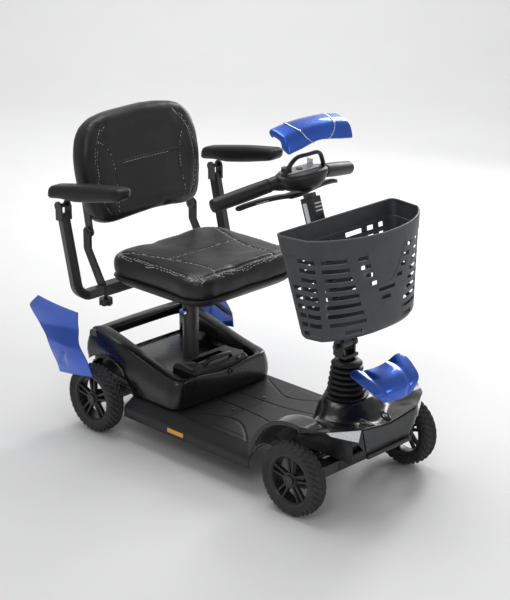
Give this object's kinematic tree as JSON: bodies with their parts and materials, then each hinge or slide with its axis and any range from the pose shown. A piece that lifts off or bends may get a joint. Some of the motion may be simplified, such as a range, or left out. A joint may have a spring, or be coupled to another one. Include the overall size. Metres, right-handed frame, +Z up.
{
  "type": "mobility scooter",
  "caption": "Compact mobility scooter with swivel seat, flip-up armrests, tiller with front basket, and coloured covers lifted off their seats.",
  "frame": {"origin": "on the ground, at the centre of the footprint of the whole object at rest", "axes": "+Z up, -Y is forward, +X is the rider's left"},
  "size_m": [0.632, 1.139, 0.972],
  "materials": {
    "frame_steel": "satin black powder coat",
    "zinc_steel": "zinc plated",
    "chrome": "polished",
    "silver_trim": "satin silver",
    "gear_case": "cast",
    "motor_black": "satin black",
    "black_shell": "satin gloss moulding",
    "deck_grey": "fine matte grain",
    "black_plastic": "fine grain",
    "basket_plastic": "matte grain",
    "rim_plastic": "satin",
    "tyre_rubber": "matte block tread",
    "bellows_rubber": "matte",
    "grip_rubber": "satin",
    "pad_foam": "self-skinned foam, fine grain",
    "seat_leather": "grained, pale double stitching",
    "blue_lacquer": "metallic gloss",
    "reflector_white": "prismatic",
    "reflector_amber": "prismatic"
  },
  "bodies": {
    "chassis": {"frame_rails": "frame_steel", "front_axle_beam": "frame_steel", "floor_pan": "deck_grey", "rear_shroud": "black_shell", "controller": "black_plastic", "charger_socket": "chrome", "body_screws": "chrome", "side_reflectors": "reflector_amber", "transaxle": "gear_case", "drive_motor": "motor_black", "front_fairing": "black_shell", "front_reflectors": "reflector_white", "seat_post_tube": "frame_steel", "seat_post_bolt": "chrome"},
    "anti_tip": {"anti_tip_wheels": "tyre_rubber"},
    "battery": {"battery_pack": "black_plastic"},
    "freewheel": {"freewheel_lever": "black_plastic"},
    "knuckle_left": {"steering_knuckle_left": "frame_steel"},
    "knuckle_right": {"steering_knuckle_right": "frame_steel"},
    "tie_rod": {"tie_rod": "zinc_steel"},
    "wheel_front_left": {"tyre_front_left": "tyre_rubber", "rim_front_left": "rim_plastic"},
    "wheel_front_right": {"tyre_front_right": "tyre_rubber", "rim_front_right": "rim_plastic"},
    "wheel_rear_left": {"tyre_rear_left": "tyre_rubber", "rim_rear_left": "rim_plastic"},
    "wheel_rear_right": {"tyre_rear_right": "tyre_rubber", "rim_rear_right": "rim_plastic"},
    "column": {"steering_column": "frame_steel", "steering_bellows": "bellows_rubber"},
    "tiller": {"tiller_tube": "frame_steel", "tiller_sleeve": "black_plastic", "tiller_trim": "silver_trim", "handlebar": "zinc_steel", "grips": "grip_rubber", "console_base": "black_plastic", "basket_bracket": "frame_steel"},
    "tilt_lock": {"tilt_lever": "black_plastic"},
    "throttle": {"throttle_paddle": "black_plastic"},
    "dial": {"speed_dial": "black_plastic"},
    "key": {"ignition_key": "silver_trim"},
    "horn": {"horn_button": "black_plastic"},
    "basket": {"basket": "basket_plastic"},
    "tiller_cover": {"tiller_cover": "blue_lacquer"},
    "nose_cover": {"nose_cover": "blue_lacquer"},
    "panel_left": {"rear_panel_left": "blue_lacquer"},
    "panel_right": {"rear_panel_right": "blue_lacquer"},
    "seat_height": {"seat_stem": "zinc_steel"},
    "seat": {"seat_frame": "frame_steel", "seat_pan": "black_plastic", "seat_cushion": "seat_leather"},
    "swivel_lock": {"swivel_lever": "black_plastic"},
    "backrest": {"backrest_frame": "frame_steel", "backrest_cushion": "seat_leather"},
    "armrest_left": {"armrest_tube_left": "frame_steel"},
    "armrest_right": {"armrest_tube_right": "frame_steel"},
    "pad_left": {"armrest_pad_left": "pad_foam"},
    "pad_right": {"armrest_pad_right": "pad_foam"},
    "knob_left": {"armrest_knob_left": "black_plastic"},
    "knob_right": {"armrest_knob_right": "black_plastic"}
  },
  "joints": [
    {"name": "steering", "type": "hinge", "parent": "chassis", "child": "column", "pos_m": [0, -0.397, 0.15], "axis": [0, 0, 1], "range_deg": [-35, 35]},
    {"name": "kingpin_left", "type": "hinge", "parent": "chassis", "child": "knuckle_left", "pos_m": [0.172, -0.418, 0.09], "axis": [0, 0, 1], "range_deg": [-35, 35]},
    {"name": "kingpin_right", "type": "hinge", "parent": "chassis", "child": "knuckle_right", "pos_m": [-0.172, -0.418, 0.09], "axis": [0, 0, 1], "range_deg": [-35, 35]},
    {"name": "tie_rod_pivot", "type": "hinge", "parent": "knuckle_right", "child": "tie_rod", "pos_m": [-0.172, -0.373, 0.1], "axis": [0, 0, 1], "range_deg": [-35, 35]},
    {"name": "front_left_spin", "type": "hinge", "parent": "knuckle_left", "child": "wheel_front_left", "pos_m": [0.22, -0.418, 0.1], "axis": [1, 0, 0], "continuous": true},
    {"name": "front_right_spin", "type": "hinge", "parent": "knuckle_right", "child": "wheel_front_right", "pos_m": [-0.22, -0.418, 0.1], "axis": [1, 0, 0], "continuous": true},
    {"name": "rear_left_spin", "type": "hinge", "parent": "chassis", "child": "wheel_rear_left", "pos_m": [0.226, 0.347, 0.1], "axis": [1, 0, 0], "continuous": true},
    {"name": "rear_right_spin", "type": "hinge", "parent": "chassis", "child": "wheel_rear_right", "pos_m": [-0.226, 0.347, 0.1], "axis": [1, 0, 0], "continuous": true},
    {"name": "anti_tip_spin", "type": "hinge", "parent": "chassis", "child": "anti_tip", "pos_m": [0, 0.436, 0.036], "axis": [1, 0, 0], "continuous": true},
    {"name": "tiller_tilt", "type": "hinge", "parent": "column", "child": "tiller", "pos_m": [0, -0.388, 0.4], "axis": [1, 0, 0], "range_deg": [0, 14]},
    {"name": "tilt_lock_turn", "type": "hinge", "parent": "column", "child": "tilt_lock", "pos_m": [0.035, -0.388, 0.4], "axis": [1, 0, 0], "range_deg": [0, 30], "stiffness_Nm_per_rad": 0.5},
    {"name": "throttle_turn", "type": "hinge", "parent": "tiller", "child": "throttle", "pos_m": [0, -0.226, 0.779], "axis": [0, 0, 1], "range_deg": [-12, 12], "stiffness_Nm_per_rad": 1},
    {"name": "dial_turn", "type": "hinge", "parent": "tiller", "child": "dial", "pos_m": [-0.044, -0.218, 0.836], "axis": [0, 0, 1], "range_deg": [-135, 135]},
    {"name": "key_turn", "type": "hinge", "parent": "tiller", "child": "key", "pos_m": [0.044, -0.218, 0.836], "axis": [0, 0, 1], "range_deg": [0, 90]},
    {"name": "horn_press", "type": "slide", "parent": "tiller", "child": "horn", "axis": [0, 0, -1], "range_m": [0, 0.002], "stiffness_N_per_m": 300},
    {"name": "basket_lift", "type": "slide", "parent": "tiller", "child": "basket", "axis": [0, -0.1, 0.995], "range_m": [0, 0.15]},
    {"name": "tiller_cover_lift", "type": "slide", "parent": "tiller", "child": "tiller_cover", "axis": [0, -0.359, 0.9333], "range_m": [-0.06924, 0]},
    {"name": "nose_cover_lift", "type": "slide", "parent": "chassis", "child": "nose_cover", "axis": [0, -0.1862, 0.9825], "range_m": [-0.09629, 0]},
    {"name": "panel_left_lift", "type": "slide", "parent": "chassis", "child": "panel_left", "axis": [0.0957, 0.8132, 0.574], "range_m": [-0.10412, 0]},
    {"name": "panel_right_lift", "type": "slide", "parent": "chassis", "child": "panel_right", "axis": [-0.0957, 0.8132, 0.574], "range_m": [-0.10412, 0]},
    {"name": "battery_lift", "type": "slide", "parent": "chassis", "child": "battery", "axis": [0, 0, 1], "range_m": [0, 0.1]},
    {"name": "freewheel_turn", "type": "hinge", "parent": "chassis", "child": "freewheel", "pos_m": [0.096, 0.347, 0.1], "axis": [1, 0, 0], "range_deg": [-30, 0]},
    {"name": "seat_height_slide", "type": "slide", "parent": "chassis", "child": "seat_height", "axis": [0, 0, 1], "range_m": [-0.02, 0.04]},
    {"name": "seat_swivel", "type": "hinge", "parent": "seat_height", "child": "seat", "pos_m": [0, 0.193, 0.41], "axis": [0, 0, 1], "range_deg": [-90, 90]},
    {"name": "swivel_lock_turn", "type": "hinge", "parent": "seat", "child": "swivel_lock", "pos_m": [0, 0.193, 0.4], "axis": [0, 0, 1], "range_deg": [0, 12], "stiffness_Nm_per_rad": 3},
    {"name": "backrest_fold", "type": "hinge", "parent": "seat", "child": "backrest", "pos_m": [0, 0.392, 0.575], "axis": [1, 0, 0], "range_deg": [0, 75]},
    {"name": "armrest_left_slide", "type": "slide", "parent": "seat", "child": "armrest_left", "axis": [1, 0, 0], "range_m": [-0.02, 0.06]},
    {"name": "armrest_right_slide", "type": "slide", "parent": "seat", "child": "armrest_right", "axis": [1, 0, 0], "range_m": [-0.06, 0.02]},
    {"name": "pad_left_flip", "type": "hinge", "parent": "armrest_left", "child": "pad_left", "pos_m": [0.288, 0.388, 0.672], "axis": [-1, 0, 0], "range_deg": [0, 90]},
    {"name": "pad_right_flip", "type": "hinge", "parent": "armrest_right", "child": "pad_right", "pos_m": [-0.288, 0.388, 0.672], "axis": [1, 0, 0], "range_deg": [-90, 0]},
    {"name": "knob_left_turn", "type": "hinge", "parent": "seat", "child": "knob_left", "pos_m": [0.19, 0.335, 0.385], "axis": [0, 0, 1], "continuous": true},
    {"name": "knob_right_turn", "type": "hinge", "parent": "seat", "child": "knob_right", "pos_m": [-0.19, 0.335, 0.385], "axis": [0, 0, 1], "continuous": true}
  ],
  "couplings": [
    {"joint": "kingpin_left", "follows": "steering", "ratio": 1},
    {"joint": "kingpin_right", "follows": "steering", "ratio": 1},
    {"joint": "tie_rod_pivot", "follows": "steering", "ratio": -1}
  ]
}
